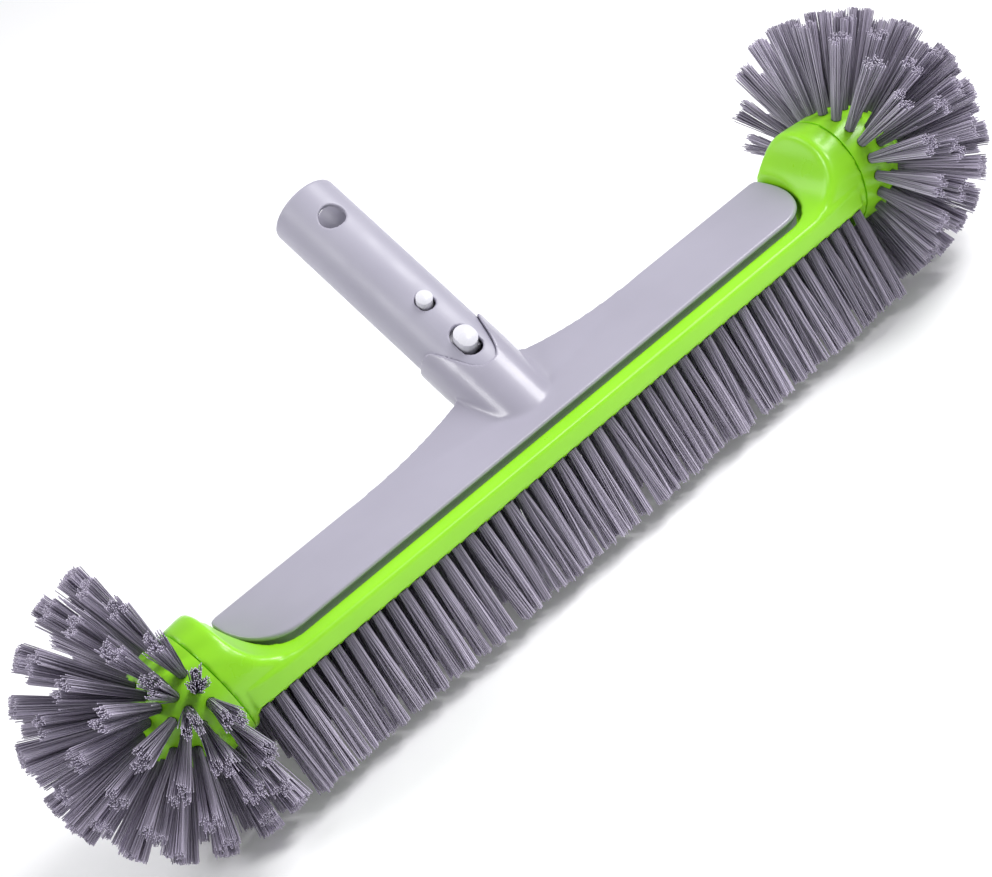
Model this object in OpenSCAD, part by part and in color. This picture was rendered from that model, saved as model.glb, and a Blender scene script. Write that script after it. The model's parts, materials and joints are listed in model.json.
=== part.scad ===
// Pool wall brush: a long tufted board with a round tufted dome at each end,
// and a tilted hollow spigot that a telescopic pool pole slides over.
// Frame: X runs along the board, +Z is up, the trimmed tips of the rows lie on Z = 0,
// and the spigot leans back towards +Y. The origin is the middle of the tip plane.
// The domes' tufts reach a little below that plane, as they do until they are pressed.

/* [Part shown] */
// One sub-part, or all of them

/* [Bristle field] */
// Height of the tuft line above the trimmed tips of the rows
bristle_len = 42; // [38:1:50]
// Distance between neighbouring tufts of a row
tuft_pitch = 6.8; // [6:0.1:8]
// Tufts in each long row
row_tufts = 48; // [40:2:52]
// Distance between rows where they enter the board
row_gap = 11.3; // [10:0.1:12]
// Outward lean of the outermost rows, in degrees
row_lean = 12; // [0:1:16]
// Tuft radius at the bottom of its hole
tuft_root_r = 2.0; // [1.8:0.1:2.4]
// Tuft radius at the trimmed tips of the rows
tuft_tip_r = 3.0; // [2.4:0.1:3.2]
// Tuft radius at the trimmed tips of the domes
dome_tip_r = 4.4; // [3:0.1:5]
// Depth of the tuft holes
tuft_depth = 5.8; // [5:0.1:6]

/* [Board] */
// Half of the board's width
board_half_w = 26.3; // [25:0.1:28]
// Height of the rim above the tuft line
rim_h = 10.2; // [9:0.1:12]
// Half of the board's length, to the seam of the end domes
board_half_len = 167.6; // [160:0.1:175]

/* [End domes] */
// Radius of the hub and of the dome
dome_r = 24.7; // [23:0.1:26]
// Height of the seam's centre above the tuft line
dome_z = 8.6; // [6:0.1:12]
// Droop of the dome's axis, in degrees
dome_droop = 6.8; // [0:0.1:12]
// Straight part of the dome outside the seam
dome_barrel = 10; // [8:0.5:14]
// Radius of the ball that the dome's tips are trimmed to
ball_r = 61; // [55:0.5:63]
// Height of that ball's centre above the tuft line
ball_z = 12; // [8:0.5:15]
// Distance of that ball's centre outside the seam
ball_out = 13; // [8:0.5:18]
// How far the lowest dome tufts are let down below the tips of the rows
dome_drop = 6.5; // [0:0.5:7]

/* [Bracket] */
// Height of the plate's top above the tuft line
plate_h = 13.9; // [12:0.1:16]
// Front edge of the plate
plate_front = 16.8; // [14:0.1:18]
// Back edge of the plate
plate_back = 24; // [22:0.1:24.5]
// Half length of the plate at its widest
plate_half_len = 150.3; // [148:0.1:152]
// Half length of the straight part of its front edge
plate_straight = 131; // [120:0.5:140]
// How far behind the middle of the board the plate is longest
plate_long_y = 15; // [5:0.5:18]
// Height of the plate's edge
plate_edge = 2.4; // [1.5:0.1:4]
// How far the plate's foot stands back from its edge
plate_undercut = 2.2; // [0:0.1:3]
// Gap between the plate and its pocket
pocket_gap = 1.1; // [0.6:0.1:1.5]

/* [Spigot] */
// Tilt of the spigot from upright, in degrees
spigot_tilt = 53.5; // [45:0.5:60]
// Outer radius of the spigot tube, where a pole slides over it
tube_r = 15.75; // [15.5:0.05:16]
// Wall of the spigot tube
tube_wall = 2.4; // [2:0.1:3]
// Station of the tube's open end
tube_end = 144.3; // [130:0.1:150]
// Station where the tube's slightly tapered root ends
root_end = 76; // [75:0.5:80]
// Station of the cross hole
hole_at = 125.4; // [115:0.1:130]
// Radius of the cross hole
hole_r = 5.75; // [4.5:0.05:6]
// Outer radius of the collar at its rim
collar_r = 17.25; // [17:0.05:19]
// Outer radius of the collar where it meets the plate
collar_foot_r = 15.6; // [15:0.1:17]
// Station of the collar's rim
collar_end = 54; // [50:0.5:60]
// Station of the lowest point of the rim, below each release button
rim_low = 31; // [30:0.5:36]

/* [Lock clip] */
// Station of the lock pins
pin_at = 69.7; // [66:0.1:74]
// Radius of a lock pin
pin_r = 3.5; // [3:0.1:4.5]
// Height of a lock pin above the tube
pin_out = 3.1; // [2.5:0.1:4]
// Station of the release buttons
button_at = 45.4; // [43:0.1:48]
// Height of a release button above the tube
button_out = 3.6; // [3:0.1:5]
// Station of the flexing roots of the legs
flex_at = 108; // [104:0.5:112]

/* [Hidden] */
$fn = 96;
tip_plane = bristle_len;
spigot_z = tip_plane - 0.4;
handed = [-1, 1];
rows = [-2, -1, 0, 1, 2];
floor_h = 6;
under_h = -2.5;
hub_foot_x = 163.1;
draw_in_from = 138;
hub_len = 40;
hub_from = 90;
hub_above = 120;
scoop_r = 22.8;
scoop_x = 135.7;
scoop_z = tip_plane + rim_h + scoop_r;
bore_r = tube_r - tube_wall;
root_r = tube_r - 0.2;
tube_start = 29;
socket_start = 27.6;
collar_foot = -3;
collar_full = 40;
rim_half_w = 15;
slot_w = 9.6;
slot_len = 15.4;
button_w = 8.8;
button_len = 10.6;
leg_w = 9;
leg_t = 2.4;
flex_r = 5;
end_r = 10.4;
leg_foot = 41;
leg_run = flex_at - leg_foot;
leg_slope = atan((end_r - flex_r) / leg_run);
screw_x = [45, 115];
seam_ring_at = 7.7;
ring_polar = [86, 77, 60, 43, 26, 9];
ring_tufts = [20, 20, 18, 14, 9, 3];
spigot_bore_r = 6.02;
screw_seat = 20.6;
green = [0.58, 0.92, 0.22];
silver = [0.72, 0.71, 0.76];
white = [0.94, 0.94, 0.97];
slate = [0.50, 0.48, 0.55];
steel = [0.75, 0.76, 0.78];

// ---- bristle rows ----

// One tuft, from the middle of its mouth, pointing down, with its end in the hole
module tuft(length, tip_r) {
    translate([0, 0, -length])
        cylinder(r1 = tip_r, r2 = tuft_root_r, h = length);
    cylinder(r = tuft_root_r, h = tuft_depth);
}

// Blind hole that a tuft is driven into
module tuft_hole() {
    translate([0, 0, -3])
        cylinder(r = tuft_root_r + 0.2, h = tuft_depth + 3);
}

function row_count(row) = abs(row) == 2 ? row_tufts : row_tufts - 1;
function row_lift(row) = abs(row) == 2 ? -0.6 : under_h;

// Places its children at each tuft of a row, leaning outwards as the row does
module along_row(row) {
    count = row_count(row);
    for (i = [0:count - 1])
        translate([(i - (count - 1) / 2) * tuft_pitch, row * row_gap, tip_plane + row_lift(row)])
            rotate([row * row_lean / 2, 0, 0])
                children();
}

// One long row of tufts, trimmed flush at the tip plane
module bristle_row(row) {
    color(slate)
        intersection() {
            along_row(row)
                tuft(bristle_len + 2, tuft_tip_r);
            translate([-200, -60, 0])
                cube([400, 120, 80]);
        }
}

// ---- end domes ----

// Places its children in the frame of an end: X is the dome's outward axis
module at_end(side) {
    mirror([side < 0 ? 1 : 0, 0, 0])
        translate([board_half_len, 0, tip_plane + dome_z])
            rotate([0, dome_droop, 0])
                children();
}

function ball_centre() = [
    ball_out * cos(dome_droop) - (ball_z - dome_z) * sin(dome_droop),
    0,
    ball_out * sin(dome_droop) + (ball_z - dome_z) * cos(dome_droop)
];

// Length of a tuft from its root to the ball that its tip is trimmed to
function reach(root, way) =
    let (d = root - ball_centre(), b = d * way, c = d * d - ball_r * ball_r)
    -b + sqrt(b * b - c);

function ring_turn(ring, i) = (i + (ring % 2) / 2) * 360 / ring_tufts[ring];
function ring_way(ring, turn) =
    let (p = ring_polar[ring])
    [cos(p), sin(p) * sin(turn), sin(p) * cos(turn)];
function ring_root(ring, turn) =
    ring == 0
        ? [seam_ring_at, dome_r * sin(turn), dome_r * cos(turn)]
        : [dome_barrel, 0, 0] + dome_r * ring_way(ring, turn);

// Places its children at one tuft root of a dome, with -Z outwards
module at_root(ring, turn) {
    translate(ring_root(ring, turn))
        rotate([-turn, 0, 0])
            rotate([0, 270 - ring_polar[ring], 0])
                children();
}

// The tufts of some rings of a dome, trimmed to a ball and to the lowest level they reach
module dome_tufts(side, rings) {
    color(slate)
        intersection() {
            at_end(side)
                for (ring = rings, i = [0:ring_tufts[ring] - 1]) {
                    turn = ring_turn(ring, i);
                    at_root(ring, turn)
                        tuft(reach(ring_root(ring, turn), ring_way(ring, turn)), dome_tip_r);
                }
            translate([-260, -80, -dome_drop])
                cube([520, 160, 160]);
        }
}

// Dome with a spigot that enters the hub
module end_dome(side) {
    color(green)
        at_end(side)
            difference() {
                rotate([0, 90, 0]) {
                    translate([0, 0, 0.3])
                        cylinder(r = dome_r, h = dome_barrel - 0.3);
                    translate([0, 0, dome_barrel])
                        intersection() {
                            sphere(r = dome_r);
                            translate([-30, -30, -1])
                                cube([60, 60, 40]);
                        }
                    translate([0, 0, -12])
                        cylinder(r = spigot_bore_r - 0.02, h = 14);
                }
                for (ring = [0:len(ring_polar) - 1], i = [0:ring_tufts[ring] - 1])
                    at_root(ring, ring_turn(ring, i))
                        tuft_hole();
                dome_screw_place()
                    cylinder(r = 1.9, h = 34);
            }
}

// ---- board ----

function board_side() = [
    [0, under_h], [20.2, under_h], [22, -1.9], [board_half_w - 0.6, 1.2],
    [board_half_w, 2.8], [board_half_w, rim_h - 2.2], [board_half_w - 0.4, rim_h - 0.9],
    [board_half_w - 1.3, rim_h - 0.1], [board_half_w - 2.4, rim_h], [0, rim_h]
];

// Half width of the board in plan, which draws in a little towards the hubs
function half_width(x) =
    board_half_w - 1.3 * pow(max(0, x - draw_in_from) / (hub_foot_x - draw_in_from), 2);

module board_plan() {
    right = concat(
        [for (x = [draw_in_from:2.51:hub_foot_x]) [x, half_width(x)]],
        [for (x = [hub_foot_x:-2.51:draw_in_from]) [x, -half_width(x)]]
    );
    polygon(concat(right, [for (i = [len(right) - 1:-1:0]) [-right[i][0], right[i][1]]]));
}

// Cross-section of the board as a Y-Z outline, swept along X between its drawn-in sides
module board_bar() {
    side = board_side();
    intersection() {
        translate([-hub_foot_x, 0, tip_plane])
            rotate([90, 0, 90])
                linear_extrude(2 * hub_foot_x)
                    polygon(concat(side, [for (i = [len(side) - 2:-1:1]) [-side[i][0], side[i][1]]]));
        translate([0, 0, tip_plane - 10])
            linear_extrude(40)
                board_plan();
    }
}

// Block right across the board, between two stations along X and two heights
module cross_block(x0, x1, z0, z1) {
    translate([x0, -40, z0])
        cube([x1 - x0, 80, z1 - z0]);
}

// Hub at an end: a drum on the dome's axis, hollowed by a round scoop that runs down to the rim
module hub(side) {
    difference() {
        at_end(side)
            rotate([0, -90, 0])
                cylinder(r = dome_r, h = hub_len);
        mirror([side < 0 ? 1 : 0, 0, 0]) {
            translate([scoop_x, 40, scoop_z])
                rotate([90, 0, 0])
                    cylinder(r = scoop_r, h = 80);
            cross_block(hub_from, scoop_x, tip_plane + rim_h, hub_above);
            cross_block(scoop_x - 1, scoop_x + scoop_r, scoop_z, hub_above);
            cross_block(hub_from, 158, 0, tip_plane + 4);
            cross_block(hub_from, hub_foot_x, 0, tip_plane + under_h);
        }
    }
}

// Right half of the plate's outline, grown by a margin, from its front edge to its back edge
function plate_side(margin) =
    let (half = plate_half_len + margin, front = plate_front + margin,
         back = plate_back + (margin > 0 ? 0.6 : 0))
    concat(
        [for (t = [0:6:90])
            [plate_straight + (half - plate_straight) * sin(t), plate_long_y - (plate_long_y + front) * cos(t)]],
        [[half - 0.1, back - 3], [half - 0.5, back - 1.3], [half - 1.4, back - 0.3], [half - 2.6, back]]
    );

// Plan outline of the bracket plate, grown by a margin
module plate_outline(margin) {
    side = plate_side(margin);
    polygon(concat(side, [for (i = [len(side) - 1:-1:0]) [-side[i][0], side[i][1]]]));
}

module bracket_screw_places() {
    for (side = handed, x = screw_x)
        translate([side * x, row_gap / 2, tip_plane + under_h])
            children();
}

module brush_base() {
    color(green)
        difference() {
            union() {
                board_bar();
                for (side = handed)
                    hub(side);
            }
            translate([0, 0, tip_plane + floor_h])
                linear_extrude(40)
                    plate_outline(pocket_gap);
            for (row = rows)
                along_row(row)
                    tuft_hole();
            for (side = handed)
                at_end(side) {
                    rotate([0, 90, 0])
                        translate([0, 0, -12.1])
                            cylinder(r = spigot_bore_r, h = 20);
                    dome_screw_place() {
                        cylinder(r = 1.9, h = 30);
                        cylinder(r = 3.1, h = screw_seat);
                    }
                }
            bracket_screw_places() {
                translate([0, 0, -1])
                    cylinder(r = 1.8, h = 12);
                translate([0, 0, -0.01])
                    cylinder(r1 = 3.3, r2 = 1.8, h = 1.9);
            }
        }
}

// ---- screws ----

// Places its children below the cross screw of a dome's spigot, Z along the screw
module dome_screw_place() {
    translate([-3.6, 0, -30])
        children();
}

module dome_screws() {
    color(steel)
        for (side = handed)
            at_end(side)
                dome_screw_place() {
                    translate([0, 0, screw_seat])
                        cylinder(r = 1.85, h = 12.4);
                    translate([0, 0, screw_seat - 2])
                        cylinder(r = 2.9, h = 2);
                }
}

module bracket_screws() {
    color(steel)
        bracket_screw_places() {
            translate([0, 0, 0.1])
                cylinder(r1 = 3.15, r2 = 1.7, h = 1.75);
            translate([0, 0, 1.8])
                cylinder(r = 1.7, h = 12);
        }
}

// ---- bracket ----

// Places its children in the spigot's frame: Z along the tube, -Y towards the front
module at_spigot() {
    translate([0, 0, spigot_z])
        rotate([-spigot_tilt, 0, 0])
            children();
}

// Places its children as given for the front, or mirrored to the rear
module facing(side) {
    mirror([0, side < 0 ? 1 : 0, 0])
        children();
}

function flare_x(t) = 8 + 96 * t;
function flare_h(t) = 10.5 * pow(1 - t, 3);
function flare_w(t) = 1 + 21 * pow(1 - t, 1.3);

// Fairing that rises along the plate's back edge into the collar's side
module fairing() {
    steps = 24;
    z0 = tip_plane + plate_h;
    points = [for (i = [0:steps])
        let (t = i / steps, x = flare_x(t), y = plate_back - flare_w(t))
        each [[x, y, z0 - 1], [x, plate_back, z0 - 1], [x, plate_back, z0 + flare_h(t)], [x, y, z0]]];
    side_faces = [for (i = [0:steps - 1], k = [0:3])
        let (a = 4 * i + k, b = 4 * i + (k + 1) % 4)
        each [[a, a + 4, b], [b, a + 4, b + 4]]];
    last = 4 * steps;
    ends = [[0, 1, 2], [0, 2, 3], [last, last + 2, last + 1], [last, last + 3, last + 2]];
    polyhedron(points, concat(side_faces, ends));
}

function collar_radius(station) =
    min(collar_r, collar_r - (collar_full - station) * (collar_r - collar_foot_r) / (collar_full - collar_foot));

// The collar between two stations
module collar_part(from, to) {
    at_spigot()
        translate([0, 0, from])
            cylinder(r1 = collar_radius(from), r2 = collar_radius(to), h = to - from);
}

function rim_station(x) =
    rim_low + (collar_end - rim_low) * (1 - cos(180 * pow(abs(x) / rim_half_w, 1.5))) / 2;

// Cut that lets the collar's rim dip in a wave below a release button
module rim_dip() {
    wave = [for (x = [-rim_half_w:1:rim_half_w]) [x, rim_station(x)]];
    rotate([90, 0, 0])
        translate([0, 0, 8])
            linear_extrude(12)
                polygon(concat(wave, [[rim_half_w, collar_end + 6], [-rim_half_w, collar_end + 6]]));
}

module back_bracket() {
    color(silver)
        difference() {
            union() {
                translate([0, 0, tip_plane + floor_h])
                    linear_extrude(plate_h - floor_h - 1)
                        plate_outline(-plate_undercut);
                translate([0, 0, tip_plane + plate_h - plate_edge])
                    linear_extrude(plate_edge - 0.7)
                        plate_outline(0);
                translate([0, 0, tip_plane + plate_h - 0.7])
                    linear_extrude(0.7)
                        plate_outline(-0.4);
                fairing();
                mirror([1, 0, 0])
                    fairing();
                intersection() {
                    collar_part(collar_foot, socket_start);
                    translate([-30, -30, tip_plane + rim_h + 0.3])
                        cube([60, 30 + plate_back, 60]);
                }
                collar_part(socket_start, collar_full);
                collar_part(collar_full, collar_end);
            }
            at_spigot() {
                translate([0, 0, tube_start])
                    cylinder(r1 = root_r + 0.02, r2 = tube_r + 0.02, h = root_end - tube_start);
                for (side = handed)
                    facing(side)
                        rim_dip();
                tube_screw_shape(0.02);
            }
            bracket_screw_places()
                cylinder(r = 1.7, h = 14);
        }
}

// ---- spigot tube ----

// Slot through the front wall of the tube, with straight sides and round ends
module wall_slot(station, width, length) {
    run = (length - width) / 2;
    for (s = handed)
        translate([0, -5, station + s * run])
            rotate([90, 0, 0])
                cylinder(r = width / 2, h = 16);
    translate([-width / 2, -21, station - run])
        cube([width, 16, 2 * run]);
}

module handle_tube() {
    color(silver)
        at_spigot()
            difference() {
                rotate_extrude()
                    polygon([
                        [bore_r, tube_start], [root_r, tube_start],
                        [tube_r, root_end], [tube_r, tube_end - 1], [tube_r - 0.3, tube_end - 0.3],
                        [tube_r - 1, tube_end], [bore_r + 0.5, tube_end], [bore_r, tube_end - 0.5]
                    ]);
                translate([0, 30, hole_at])
                    rotate([90, 0, 0])
                        cylinder(r = hole_r, h = 60);
                for (side = handed)
                    facing(side) {
                        wall_slot(pin_at - 0.4, 2 * pin_r + 0.6, 2 * pin_r + 2.2);
                        wall_slot(button_at - 0.4, slot_w, slot_len);
                    }
                tube_screw_shape(0.02);
            }
}

// Countersunk screw through the collar's right side, grown by a margin
module tube_screw_shape(margin) {
    translate([0, 0, 44])
        rotate([0, 90, 0]) {
            translate([0, 0, bore_r - 0.5])
                cylinder(r = 1.5 + margin, h = 4);
            translate([0, 0, collar_r - 1.8])
                cylinder(r1 = 1.5 + margin, r2 = 2.8 + margin, h = 1.3);
            if (margin > 0)
                translate([0, 0, collar_r - 0.5])
                    cylinder(r = 2.8 + margin, h = 3);
        }
}

module tube_screw() {
    color(steel)
        at_spigot()
            tube_screw_shape(0);
}

// ---- lock clip ----

// Bar that spans the bore and carries the flexing roots of both legs
module clip_bridge() {
    color(white)
        at_spigot()
            intersection() {
                translate([0, 0, flex_at])
                    cylinder(r = bore_r, h = 5);
                translate([-20, -flex_r - leg_t / 2, flex_at])
                    cube([40, 2 * flex_r + leg_t, 5]);
            }
}

// Height of a leg's outer face above the spigot's axis
function leg_face(station) = flex_r + (flex_at - station) * tan(leg_slope) + leg_t / 2 / cos(leg_slope);

module clip_leg(side) {
    color(white)
        at_spigot()
            facing(side)
                difference() {
                    translate([0, -flex_r, flex_at])
                        rotate([-leg_slope, 0, 0])
                            translate([-leg_w / 2, -leg_t / 2, -leg_run])
                                cube([leg_w, leg_t, leg_run - 0.15]);
                    lock_pin_body();
                    release_button_body();
                }
}

// Post with a domed end that snaps into a pole's hole
module lock_pin_body() {
    root = leg_face(pin_at) - 0.8;
    top = tube_r + pin_out;
    translate([0, -root, pin_at])
        rotate([90, 0, 0])
            intersection() {
                cylinder(r = pin_r, h = top - root);
                translate([0, 0, top - root - 6.4])
                    sphere(r = 6.4);
            }
}

module lock_pin(side) {
    color(white)
        at_spigot()
            facing(side)
                lock_pin_body();
}

// Oval button with a crowned face
module release_button_body() {
    root = leg_face(button_at) - 0.8;
    top = tube_r + button_out;
    run = (button_len - button_w) / 2;
    translate([0, -root, button_at])
        rotate([90, 0, 0])
            intersection() {
                union() {
                    for (s = handed)
                        translate([0, s * run, 0])
                            cylinder(r = button_w / 2, h = top - root);
                    translate([-button_w / 2, -run, 0])
                        cube([button_w, 2 * run, top - root]);
                }
                translate([0, 0, top - root - 10])
                    sphere(r = 10);
            }
}

module release_button(side) {
    color(white)
        at_spigot()
            facing(side)
                release_button_body();
}

brush_base();
back_bracket();
handle_tube();
end_dome(-1);  // end_dome_left
end_dome(1);  // end_dome_right
dome_screws();
bracket_screws();
tube_screw();
clip_bridge();
clip_leg(1);  // clip_leg_front
clip_leg(-1);  // clip_leg_rear
lock_pin(1);  // lock_pin_front
lock_pin(-1);  // lock_pin_rear
release_button(1);  // release_button_front
release_button(-1);  // release_button_rear
bristle_row(-2);  // bristle_row_front
bristle_row(-1);  // bristle_row_front_inner
bristle_row(0);  // bristle_row_middle
bristle_row(1);  // bristle_row_back_inner
bristle_row(2);  // bristle_row_back
dome_tufts(-1, [0]);  // left_seam_tufts
dome_tufts(-1, [1]);  // left_shoulder_tufts
dome_tufts(-1, [2]);  // left_cheek_tufts
dome_tufts(-1, [3]);  // left_crown_tufts
dome_tufts(-1, [4, 5]);  // left_tip_tufts
dome_tufts(1, [0]);  // right_seam_tufts
dome_tufts(1, [1]);  // right_shoulder_tufts
dome_tufts(1, [2]);  // right_cheek_tufts
dome_tufts(1, [3]);  // right_crown_tufts
dome_tufts(1, [4, 5]);  // right_tip_tufts
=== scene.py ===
"""Pool wall brush: finishes, bristle tufts, floor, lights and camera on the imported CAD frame."""

import json
import math
import random

import bpy
from mathutils import Matrix, Vector


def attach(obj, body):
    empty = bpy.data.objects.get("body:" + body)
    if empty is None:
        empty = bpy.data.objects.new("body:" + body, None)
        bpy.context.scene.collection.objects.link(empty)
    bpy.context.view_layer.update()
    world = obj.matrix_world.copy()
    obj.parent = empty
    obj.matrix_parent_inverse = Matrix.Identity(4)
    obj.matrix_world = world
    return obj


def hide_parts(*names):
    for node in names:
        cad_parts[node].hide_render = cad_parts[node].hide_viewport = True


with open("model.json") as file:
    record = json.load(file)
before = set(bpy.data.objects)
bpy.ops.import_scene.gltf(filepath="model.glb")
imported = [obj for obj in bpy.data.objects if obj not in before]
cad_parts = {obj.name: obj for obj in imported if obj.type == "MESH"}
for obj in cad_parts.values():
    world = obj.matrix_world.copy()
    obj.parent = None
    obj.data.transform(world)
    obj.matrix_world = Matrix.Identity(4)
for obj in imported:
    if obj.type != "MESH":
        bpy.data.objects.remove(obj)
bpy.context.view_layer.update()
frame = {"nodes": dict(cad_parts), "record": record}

MM = 0.001
GOLDEN_ANGLE = math.pi * (3 - math.sqrt(5))

# Bristle field, as in the CAD model
TUFT_LINE = 42 * MM
TUFT_PITCH = 6.8 * MM
ROW_GAP = 11.3 * MM
ROW_LEAN = math.radians(6)
OUTER_LIFT = -0.6 * MM
INNER_LIFT = -2.5 * MM
ROWS = {
    "bristle_row_front": -2,
    "bristle_row_front_inner": -1,
    "bristle_row_middle": 0,
    "bristle_row_back_inner": 1,
    "bristle_row_back": 2,
}

# End domes, as in the CAD model
SEAM_X = 167.6 * MM
DOME_RADIUS = 24.7 * MM
DOME_LIFT = 8.6 * MM
DOME_DROOP = math.radians(6.8)
DOME_BARREL = 10 * MM
DOME_DROP = -6.5 * MM
BALL_RADIUS = 61 * MM
BALL_LIFT = 12 * MM
BALL_OUT = 13 * MM
SEAM_RING_X = 7.7 * MM
RING_POLAR = [86, 77, 60, 43, 26, 9]
RING_TUFTS = [20, 20, 18, 14, 9, 3]
SIDES = {"left": -1, "right": 1}
REACH = {"left": 1.02, "right": 0.975}
RINGS_OF = {"seam": [0], "shoulder": [1], "cheek": [2], "crown": [3], "tip": [4, 5]}

# Scoop in each hub, and the spigot, as in the CAD model
SCOOP = Vector((135.7 * MM, 0, TUFT_LINE + 33 * MM))
SCOOP_RADIUS = 22.8 * MM
SPIGOT_FOOT = Vector((0, 0, 41.6 * MM))
SPIGOT_WAY = Vector((0, 0.803857, 0.594823))
COLLAR_RADIUS = 17.25 * MM

# Filaments
ROW_FILAMENTS = 70
DOME_FILAMENTS = 90
FILAMENT_RADIUS = 0.26 * MM
TUFT_ROOT = 1.95 * MM
ROW_FLARE = 3.3 * MM
DOME_FLARE = 4.9 * MM
RINGS_PER_FILAMENT = 4
SIDES_PER_FILAMENT = 3

# How a tuft's filaments differ from each other
TUFT_LEAN = 0.022
TUFT_REACH = (0.98, 1.0)
FILAMENT_REACH = (0.965, 1.0)
FLARE_SPREAD = (0.82, 1.08)
STRAY_CHANCE = 0.05
STRAY_FLARE = 1.35
CLUMPS = 4
CLUMPING = 0.35
BOW = 0.35 * MM

# Shade of a filament, from 0 for dark to 1 for light: a tone that differs at random, with painted
# shade at the root and painted light near the tip and on the cut end
MIDDLE_SHADE = 0.50
TUFT_TONE = 0.07
SHADE_SPREAD = 0.22
# Painted shade in the tuft's hole: a filament's shade is cut to this share at its root, and rises to
# full over 1/SHADE_RISE of its length
PAINTED_ROOT_SHADE = 0.40
SHADE_RISE = 2.2
# Painted light near each filament's tip, from this share of its length on
TIP_FROM = 0.8
PAINTED_TIP_LIGHT = 0.12
# Painted light on each filament's cut end
PAINTED_CUT_END_LIGHT = 1.0

# Rounding of the moulded pieces: how far each smoothed region reaches
EASE_FACTOR = 0.5
HUB_FROM = 120 * MM
HUB_ABOVE = TUFT_LINE + 11 * MM
HUB_INSIDE = 2 * MM
HUB_EASE = 0.3
RIDGE_REACH = 9 * MM
FOOT_ABOVE = TUFT_LINE + 13 * MM
COLLAR_SIDE = COLLAR_RADIUS + 1.5 * MM
FAIRING_REACH = 80 * MM
RIM_STATION = 29 * MM
EDGE_FORWARD = 12 * MM
EDGE_ABOVE = TUFT_LINE + 12 * MM

# Studio
FLOOR_HALF = 6.0
LIGHT_TARGET = (0, 0.03, 0.06)
LIGHTS = {
    "key": {"place": (1.15, -0.22, 1.24), "size": 0.9, "power": 23},
    "edge": {"place": (0.5, -0.74, 1.2), "size": 0.25, "power": 4.0},
    "strip": {"place": (-1.25, 0.05, 0.95), "size": 0.45, "power": 7.5},
    "rim": {"place": (-0.8, 1.1, 1.2), "size": 0.9, "power": 6},
}
SKY_COLOUR = (0.96, 0.97, 1.0, 1)
SKY_STRENGTH = 0.40
CAMERA_PLACE = (-0.33847, -0.75162, 0.52559)
CAMERA_LENS = 87.56


# ---- materials ----


def new_material(name):
    """An empty node material and its Principled shader."""
    material = bpy.data.materials.new(name)
    material.use_nodes = True
    return material, material.node_tree.nodes["Principled BSDF"]


def add_node(material, kind, **inputs):
    """Adds a shader node and sets its inputs by name."""
    node = material.node_tree.nodes.new(kind)
    for name, value in inputs.items():
        node.inputs[name].default_value = value
    return node


def link(material, source, target):
    """Joins an output to an input in a material's node tree."""
    material.node_tree.links.new(source, target)


def noise(material, scale, detail=3.0):
    """Noise over the object's own coordinates, in metres."""
    place = material.node_tree.nodes.new("ShaderNodeTexCoord")
    texture = add_node(material, "ShaderNodeTexNoise", Scale=scale, Detail=detail)
    link(material, place.outputs["Object"], texture.inputs["Vector"])
    return texture.outputs["Fac"]


def spread(material, factor, low, high):
    """Maps a noise factor onto the range from low to high."""
    node = add_node(material, "ShaderNodeMapRange")
    node.inputs["From Min"].default_value = 0.3
    node.inputs["From Max"].default_value = 0.7
    node.inputs["To Min"].default_value = low
    node.inputs["To Max"].default_value = high
    link(material, factor, node.inputs["Value"])
    return node.outputs["Result"]


def tint(material, factor, dark, light):
    """Mixes two colours by a factor."""
    node = material.node_tree.nodes.new("ShaderNodeMix")
    node.data_type = "RGBA"
    node.inputs["A"].default_value = (*dark, 1)
    node.inputs["B"].default_value = (*light, 1)
    link(material, factor, node.inputs["Factor"])
    return node.outputs["Result"]


def moulded(name, dark, light, roughness, grain_scale, grain_depth, coat=0.0):
    """Moulded plastic: soft colour drift, patchy gloss, and a fine grain in the surface."""
    material, shader = new_material(name)
    drift = spread(material, noise(material, 22), 0, 1)
    link(material, tint(material, drift, dark, light), shader.inputs["Base Color"])
    patches = noise(material, 70, 4)
    gloss = spread(material, patches, roughness - 0.05, roughness + 0.05)
    link(material, gloss, shader.inputs["Roughness"])
    grain = add_node(material, "ShaderNodeBump", Distance=grain_depth, Strength=0.35)
    link(material, noise(material, grain_scale, 2), grain.inputs["Height"])
    link(material, grain.outputs["Normal"], shader.inputs["Normal"])
    shader.inputs["Coat Weight"].default_value = coat
    shader.inputs["Coat Roughness"].default_value = 0.14
    return material


def green_plastic():
    """Lime green plastic that light enters a little."""
    material = moulded(
        "lime_green_plastic",
        dark=(0.29, 0.73, 0.012),
        light=(0.33, 0.79, 0.022),
        roughness=0.32,
        grain_scale=900,
        grain_depth=0.00003,
        coat=0.15,
    )
    shader = material.node_tree.nodes["Principled BSDF"]
    shader.inputs["Subsurface Weight"].default_value = 0.12
    shader.inputs["Subsurface Radius"].default_value = (0.6, 1.0, 0.2)
    shader.inputs["Subsurface Scale"].default_value = 0.003
    return material


def screw_steel():
    """Stainless screw steel with fine turned scratches."""
    material, shader = new_material("screw_steel")
    shader.inputs["Metallic"].default_value = 1.0
    drift = spread(material, noise(material, 400), 0, 1)
    metal = tint(material, drift, (0.50, 0.50, 0.52), (0.66, 0.66, 0.68))
    link(material, metal, shader.inputs["Base Color"])
    scratches = noise(material, 3000, 2)
    link(material, spread(material, scratches, 0.22, 0.42), shader.inputs["Roughness"])
    return material


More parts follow.
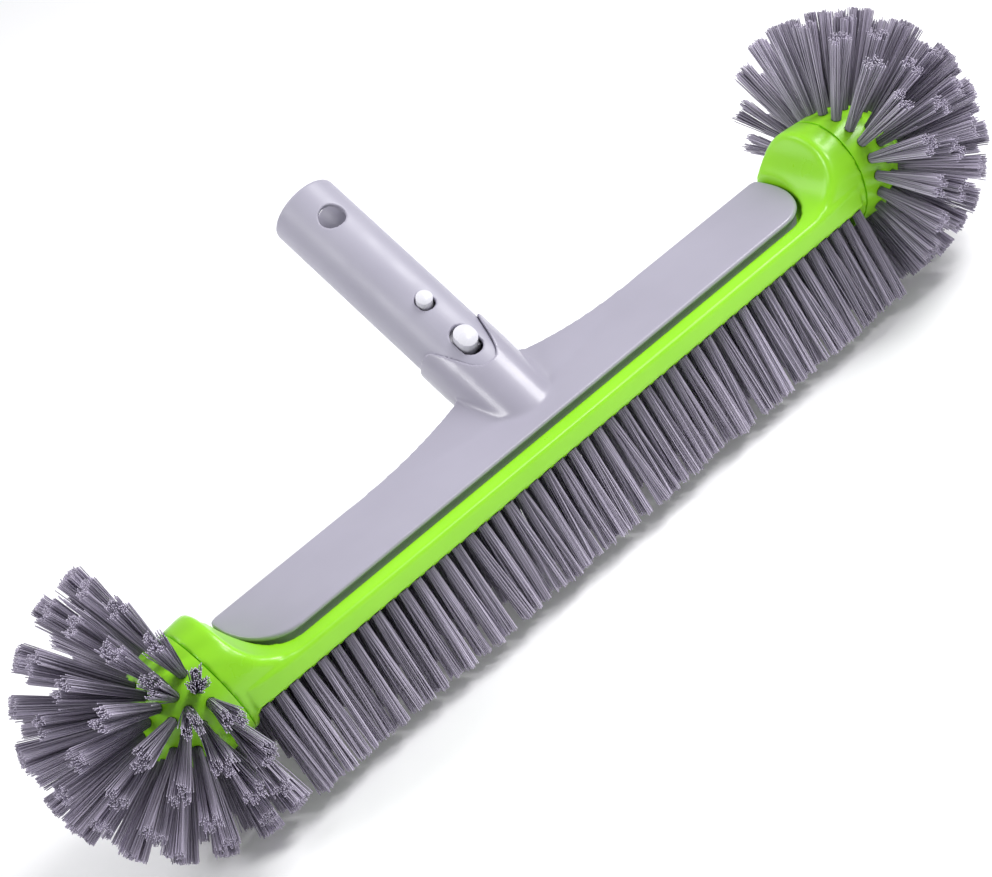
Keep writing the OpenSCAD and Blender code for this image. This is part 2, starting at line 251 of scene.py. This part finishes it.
def nylon():
    """Slate nylon filaments. Each one's shade comes from the mesh: a random tone, with painted shade
    towards its root and painted light near its tip and on its cut end.
    """
    material, shader = new_material("bristle_nylon")
    shade = material.node_tree.nodes.new("ShaderNodeAttribute")
    shade.attribute_name = "shade"
    colour = tint(material, shade.outputs["Fac"], (0.14, 0.125, 0.17), (0.72, 0.66, 0.81))
    link(material, colour, shader.inputs["Base Color"])
    streaks = noise(material, 600, 2)
    link(material, spread(material, streaks, 0.34, 0.50), shader.inputs["Roughness"])
    return material


def finish_nodes():
    """Puts a finish on every CAD node but the bristles, which the filaments replace."""
    green = green_plastic()
    bracket = moulded(
        "pearl_grey_plastic",
        dark=(0.375, 0.357, 0.436),
        light=(0.405, 0.387, 0.470),
        roughness=0.33,
        grain_scale=2600,
        grain_depth=0.00002,
        coat=0.2,
    )
    tube = moulded(
        "satin_grey_plastic",
        dark=(0.385, 0.370, 0.450),
        light=(0.420, 0.405, 0.485),
        roughness=0.42,
        grain_scale=3200,
        grain_depth=0.00003,
    )
    white = moulded(
        "white_acetal",
        dark=(0.72, 0.71, 0.77),
        light=(0.76, 0.75, 0.81),
        roughness=0.30,
        grain_scale=1500,
        grain_depth=0.00001,
        coat=0.2,
    )
    finishes = {
        "green_plastic": green,
        "bracket_grey": bracket,
        "tube_grey": tube,
        "white_plastic": white,
        "screw_steel": screw_steel(),
    }
    for part in frame["record"]["subparts"]:
        finish = finishes.get(part["material_slot"])
        if finish is None:
            continue
        slots = frame["nodes"][part["node"]].data.materials
        slots.clear()
        slots.append(finish)


# ---- bristles ----


def square_to(direction):
    """Two unit vectors at right angles to a direction and to each other."""
    first = direction.orthogonal().normalized()
    return first, direction.cross(first)


def clamp_tip(root, tip, floor):
    """Shortens a filament that would pass below a level."""
    if tip.z >= floor:
        return tip
    return root + (tip - root) * ((root.z - floor) / (root.z - tip.z))


def shade_with_painted_light(shade, t):
    """A filament's shade at a share of its length: painted shade in its hole, painted light near its
    tip.
    """
    painted_shade_factor = PAINTED_ROOT_SHADE + (1 - PAINTED_ROOT_SHADE) * min(1, t * SHADE_RISE)
    return shade * painted_shade_factor + PAINTED_TIP_LIGHT * max(0, t - TIP_FROM) / (1 - TIP_FROM)


def add_filament(mesh, root, middle, tip, radius, shade):
    """A thin filament that bends from its root towards a middle point and on to its tip."""
    verts, faces, shades = mesh
    start = len(verts)
    side, up = square_to((tip - root).normalized())
    for ring in range(RINGS_PER_FILAMENT):
        t = ring / (RINGS_PER_FILAMENT - 1)
        centre = root * (1 - t) ** 2 + middle * (2 * t * (1 - t)) + tip * t * t
        for k in range(SIDES_PER_FILAMENT):
            turn = 2 * math.pi * k / SIDES_PER_FILAMENT
            verts.append(centre + (side * math.cos(turn) + up * math.sin(turn)) * radius)
            # Each ring's shade, with painted shade at the root and painted light near the tip
            shades.append(shade_with_painted_light(shade, t))
    for ring in range(RINGS_PER_FILAMENT - 1):
        low = start + ring * SIDES_PER_FILAMENT
        for k in range(SIDES_PER_FILAMENT):
            after = (k + 1) % SIDES_PER_FILAMENT
            faces.append(
                (low + k, low + after, low + SIDES_PER_FILAMENT + after, low + SIDES_PER_FILAMENT + k)
            )
    # The cut end gets its own points, coloured with painted light
    cut_end = verts[-SIDES_PER_FILAMENT:]
    faces.append(tuple(range(len(verts), len(verts) + SIDES_PER_FILAMENT)))
    verts.extend(cut_end)
    shades.extend([PAINTED_CUT_END_LIGHT] * SIDES_PER_FILAMENT)


def add_tuft(mesh, rng, root, direction, length, count, flare, floor):
    """A bundle of filaments that leaves its hole tight and spreads towards the tips."""
    lean = Vector([rng.gauss(0, 1) for _ in range(3)]) * TUFT_LEAN
    heading = (direction + lean).normalized()
    side, up = square_to(heading)
    reach = length * rng.uniform(*TUFT_REACH)
    tone = rng.uniform(-TUFT_TONE, TUFT_TONE)
    clumps = [rng.uniform(0, 2 * math.pi) for _ in range(CLUMPS)]
    for k in range(count):
        out = math.sqrt((k + 0.5) / count)
        turn = k * GOLDEN_ANGLE
        spot = side * math.cos(turn) + up * math.sin(turn)
        clump = min(clumps, key=lambda c: abs(math.remainder(turn - c, 2 * math.pi)))
        drawn = turn - CLUMPING * math.remainder(turn - clump, 2 * math.pi)
        aim = side * math.cos(drawn) + up * math.sin(drawn)
        stray = STRAY_FLARE if rng.random() < STRAY_CHANCE else 1.0
        spread_at_tip = flare * out * stray * rng.uniform(*FLARE_SPREAD)
        begin = root + spot * (TUFT_ROOT * out)
        end = root + heading * (reach * rng.uniform(*FILAMENT_REACH)) + aim * spread_at_tip
        end = clamp_tip(begin, end, floor)
        bow = (side * rng.gauss(0, 1) + up * rng.gauss(0, 1)) * BOW
        middle = (begin + end) / 2 + bow
        shade = min(1, max(0, MIDDLE_SHADE + tone + rng.gauss(0, SHADE_SPREAD)))
        add_filament(mesh, begin, middle, end, FILAMENT_RADIUS, shade)


def bristle_piece(node, finish, tufts, count, flare, floor, seed):
    """One mesh for all the tufts of a CAD node, in its place."""
    name = node + "_filaments"
    rng = random.Random(seed)
    mesh = ([], [], [])
    for root, direction, length in tufts:
        add_tuft(mesh, rng, root, direction, length, count, flare, floor)
    verts, faces, shades = mesh
    data = bpy.data.meshes.new(name)
    data.from_pydata(verts, [], faces)
    attribute = data.attributes.new("shade", "FLOAT", "POINT")
    attribute.data.foreach_set("value", shades)
    data.polygons.foreach_set("use_smooth", [len(face.vertices) == 4 for face in data.polygons])
    data.materials.append(finish)
    piece = bpy.data.objects.new(name, data)
    bpy.context.scene.collection.objects.link(piece)
    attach(piece, "brush")
    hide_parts(node)


def row_tufts(row):
    """Root, direction and length of each tuft of a long row."""
    count = 48 if abs(row) == 2 else 47
    lift = OUTER_LIFT if abs(row) == 2 else INNER_LIFT
    lean = row * ROW_LEAN
    direction = Vector((0, math.sin(lean), -math.cos(lean)))
    height = TUFT_LINE + lift
    return [
        (
            Vector(((i - (count - 1) / 2) * TUFT_PITCH, row * ROW_GAP, height)),
            direction,
            height / math.cos(lean),
        )
        for i in range(count)
    ]


def from_end(side):
    """Places a dome's frame, whose X is its outward axis, at one end of the board."""
    flip = Matrix.Diagonal((side, 1, 1, 1))
    place = Matrix.Translation((SEAM_X, 0, TUFT_LINE + DOME_LIFT))
    return flip @ place @ Matrix.Rotation(DOME_DROOP, 4, "Y")


def dome_tufts(side, ring, reach):
    """Root, direction and length of each tuft of one ring of a dome."""
    polar = math.radians(RING_POLAR[ring])
    count = RING_TUFTS[ring]
    place = from_end(side)
    to_end = Matrix.Rotation(-DOME_DROOP, 3, "Y")
    ball = to_end @ Vector((BALL_OUT, 0, BALL_LIFT - DOME_LIFT))
    tufts = []
    for i in range(count):
        turn = (i + (ring % 2) / 2) * 2 * math.pi / count
        around = Vector((0, math.sin(turn), math.cos(turn)))
        way = Vector((math.cos(polar), 0, 0)) + around * math.sin(polar)
        if ring == 0:
            root = Vector((SEAM_RING_X, 0, 0)) + around * DOME_RADIUS
        else:
            root = Vector((DOME_BARREL, 0, 0)) + way * DOME_RADIUS
        gap = root - ball
        along = gap.dot(way)
        length = -along + math.sqrt(along * along - gap.dot(gap) + BALL_RADIUS * BALL_RADIUS)
        tufts.append((place @ root, (place.to_3x3() @ way).normalized(), length * reach))
    return tufts


def make_bristles():
    """Replaces every bristle node by its filaments."""
    finish = nylon()
    for seed, (node, row) in enumerate(ROWS.items()):
        bristle_piece(node, finish, row_tufts(row), ROW_FILAMENTS, ROW_FLARE, 0.0, seed)
    for side_name, side in SIDES.items():
        for ring_name, rings in RINGS_OF.items():
            tufts = [tuft for ring in rings for tuft in dome_tufts(side, ring, REACH[side_name])]
            node = f"{side_name}_{ring_name}_tufts"
            seed = 20 + 10 * rings[0] + side
            bristle_piece(node, finish, tufts, DOME_FILAMENTS, DOME_FLARE, DOME_DROP, seed)


# ---- moulded pieces with rounded edges ----


def baked(piece):
    """Swaps a piece's mesh for the one its modifiers make."""
    shown = piece.evaluated_get(bpy.context.evaluated_depsgraph_get())
    mesh = bpy.data.meshes.new_from_object(shown)
    piece.modifiers.clear()
    piece.data = mesh


def rounded_copy(node, voxel, passes):
    """A copy of a moulded node with its edges rounded."""
    source = frame["nodes"][node]
    piece = bpy.data.objects.new(node + "_rounded", source.data.copy())
    piece.matrix_world = source.matrix_world.copy()
    bpy.context.scene.collection.objects.link(piece)
    remesh = piece.modifiers.new("even", "REMESH")
    remesh.mode = "VOXEL"
    remesh.voxel_size = voxel
    remesh.use_smooth_shade = True
    ease = piece.modifiers.new("ease", "SMOOTH")
    ease.factor = EASE_FACTOR
    ease.iterations = passes
    baked(piece)
    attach(piece, "brush")
    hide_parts(node)
    return piece


def ease_where(piece, weight, passes):
    """Rounds a piece further by a weight for each point."""
    piece.vertex_groups.clear()
    region = piece.vertex_groups.new(name="region")
    for vert in piece.data.vertices:
        amount = weight(piece.matrix_world @ vert.co)
        if amount > 0:
            region.add([vert.index], amount, "REPLACE")
    ease = piece.modifiers.new("ease", "SMOOTH")
    ease.factor = EASE_FACTOR
    ease.iterations = passes
    ease.vertex_group = "region"
    baked(piece)


def fade(depth, width):
    """0 outside a region, rising to 1 at a width inside it."""
    return max(0.0, min(1.0, depth / width))


def near_ridge(point):
    """1 at the ridge between a hub's round outside and its scoop, less on the rest of the hub."""
    point = Vector((abs(point.x), point.y, point.z))
    local = from_end(1).inverted() @ point
    if local.x > -HUB_INSIDE or point.z < HUB_ABOVE or point.x < HUB_FROM:
        return 0.0
    from_drum = abs(math.hypot(local.y, local.z) - DOME_RADIUS)
    from_scoop = abs(math.hypot(point.x - SCOOP.x, point.z - SCOOP.z) - SCOOP_RADIUS)
    on_ridge = max(HUB_EASE, 1 - max(from_drum, from_scoop) / RIDGE_REACH)
    return on_ridge * fade(-local.x - HUB_INSIDE, 3 * MM)


def near_collar_foot(point):
    """1 where the fairings run into the collar, falling to 0 at the plate and at the rim."""
    above_plate = fade(point.z - FOOT_ABOVE, 2 * MM)
    if abs(point.x) > COLLAR_SIDE:
        return min(above_plate, fade(FAIRING_REACH - abs(point.x), 20 * MM))
    station = (point - SPIGOT_FOOT).dot(SPIGOT_WAY)
    return min(above_plate, fade(RIM_STATION - station, 3 * MM))


def near_front_edge(point):
    """1 along the upper front edge of the bracket's plate."""
    forward = fade(-point.y - EDGE_FORWARD, 1.5 * MM)
    upward = fade(point.z - EDGE_ABOVE, 0.5 * MM)
    return min(forward, upward)


def make_rounded():
    """Shows the board, the bracket and the tube with rounded edges."""
    base = rounded_copy("brush_base", voxel=0.8 * MM, passes=2)
    ease_where(base, near_ridge, passes=90)
    bracket = rounded_copy("back_bracket", voxel=0.6 * MM, passes=7)
    ease_where(bracket, near_collar_foot, passes=60)
    ease_where(bracket, near_front_edge, passes=24)
    rounded_copy("handle_tube", voxel=0.55 * MM, passes=3)


# ---- studio ----


def floor_material():
    """A pale floor that glows a little, so that it stays near white."""
    material, shader = new_material("studio_floor")
    drift = spread(material, noise(material, 3), 0, 1)
    pale = tint(material, drift, (0.88, 0.88, 0.89), (0.91, 0.91, 0.92))
    link(material, pale, shader.inputs["Base Color"])
    shader.inputs["Roughness"].default_value = 0.8
    shader.inputs["Emission Color"].default_value = (1, 1, 1, 1)
    shader.inputs["Emission Strength"].default_value = 0.12
    return material


def make_floor():
    """A level floor under the lowest dome tufts."""
    data = bpy.data.meshes.new("floor")
    corners = [
        (x * FLOOR_HALF, y * FLOOR_HALF, DOME_DROP) for x, y in ((-1, -1), (1, -1), (1, 1), (-1, 1))
    ]
    data.from_pydata(corners, [], [(0, 1, 2, 3)])
    data.materials.append(floor_material())
    floor = bpy.data.objects.new("floor", data)
    bpy.context.scene.collection.objects.link(floor)


def soft_light(name, place, size, power):
    """A round area light that faces the brush."""
    lamp = bpy.data.lights.new(name, "AREA")
    lamp.shape = "DISK"
    lamp.size = size
    lamp.energy = power
    holder = bpy.data.objects.new(name, lamp)
    holder.location = place
    holder.rotation_mode = "QUATERNION"
    holder.rotation_quaternion = (Vector(LIGHT_TARGET) - Vector(place)).to_track_quat("-Z", "Y")
    bpy.context.scene.collection.objects.link(holder)


def make_lights():
    """The soft lights, and an even pale sky."""
    for name, light in LIGHTS.items():
        soft_light(name, **light)
    world = bpy.data.worlds.new("studio")
    world.use_nodes = True
    background = world.node_tree.nodes["Background"]
    background.inputs["Color"].default_value = SKY_COLOUR
    background.inputs["Strength"].default_value = SKY_STRENGTH
    bpy.context.scene.world = world


def make_camera():
    """Looks down at the brush from the front left, with the board running up to the right."""
    right = Vector((0.7277, -0.5587, -0.3976))
    up = Vector((0.5967, 0.2303, 0.7685))
    back = Vector((-0.3378, -0.7967, 0.5011))
    camera = bpy.data.cameras.new("camera")
    camera.sensor_width = 36
    camera.lens = CAMERA_LENS
    camera.clip_start = 0.05
    camera.clip_end = 30
    holder = bpy.data.objects.new("camera", camera)
    turn = Matrix((right, up, back)).transposed()
    holder.matrix_world = Matrix.Translation(CAMERA_PLACE) @ turn.to_4x4()
    bpy.context.scene.collection.objects.link(holder)
    bpy.context.scene.camera = holder


finish_nodes()
make_rounded()
make_bristles()
make_floor()
make_lights()
make_camera()
bpy.context.scene.view_settings.view_transform = "Standard"
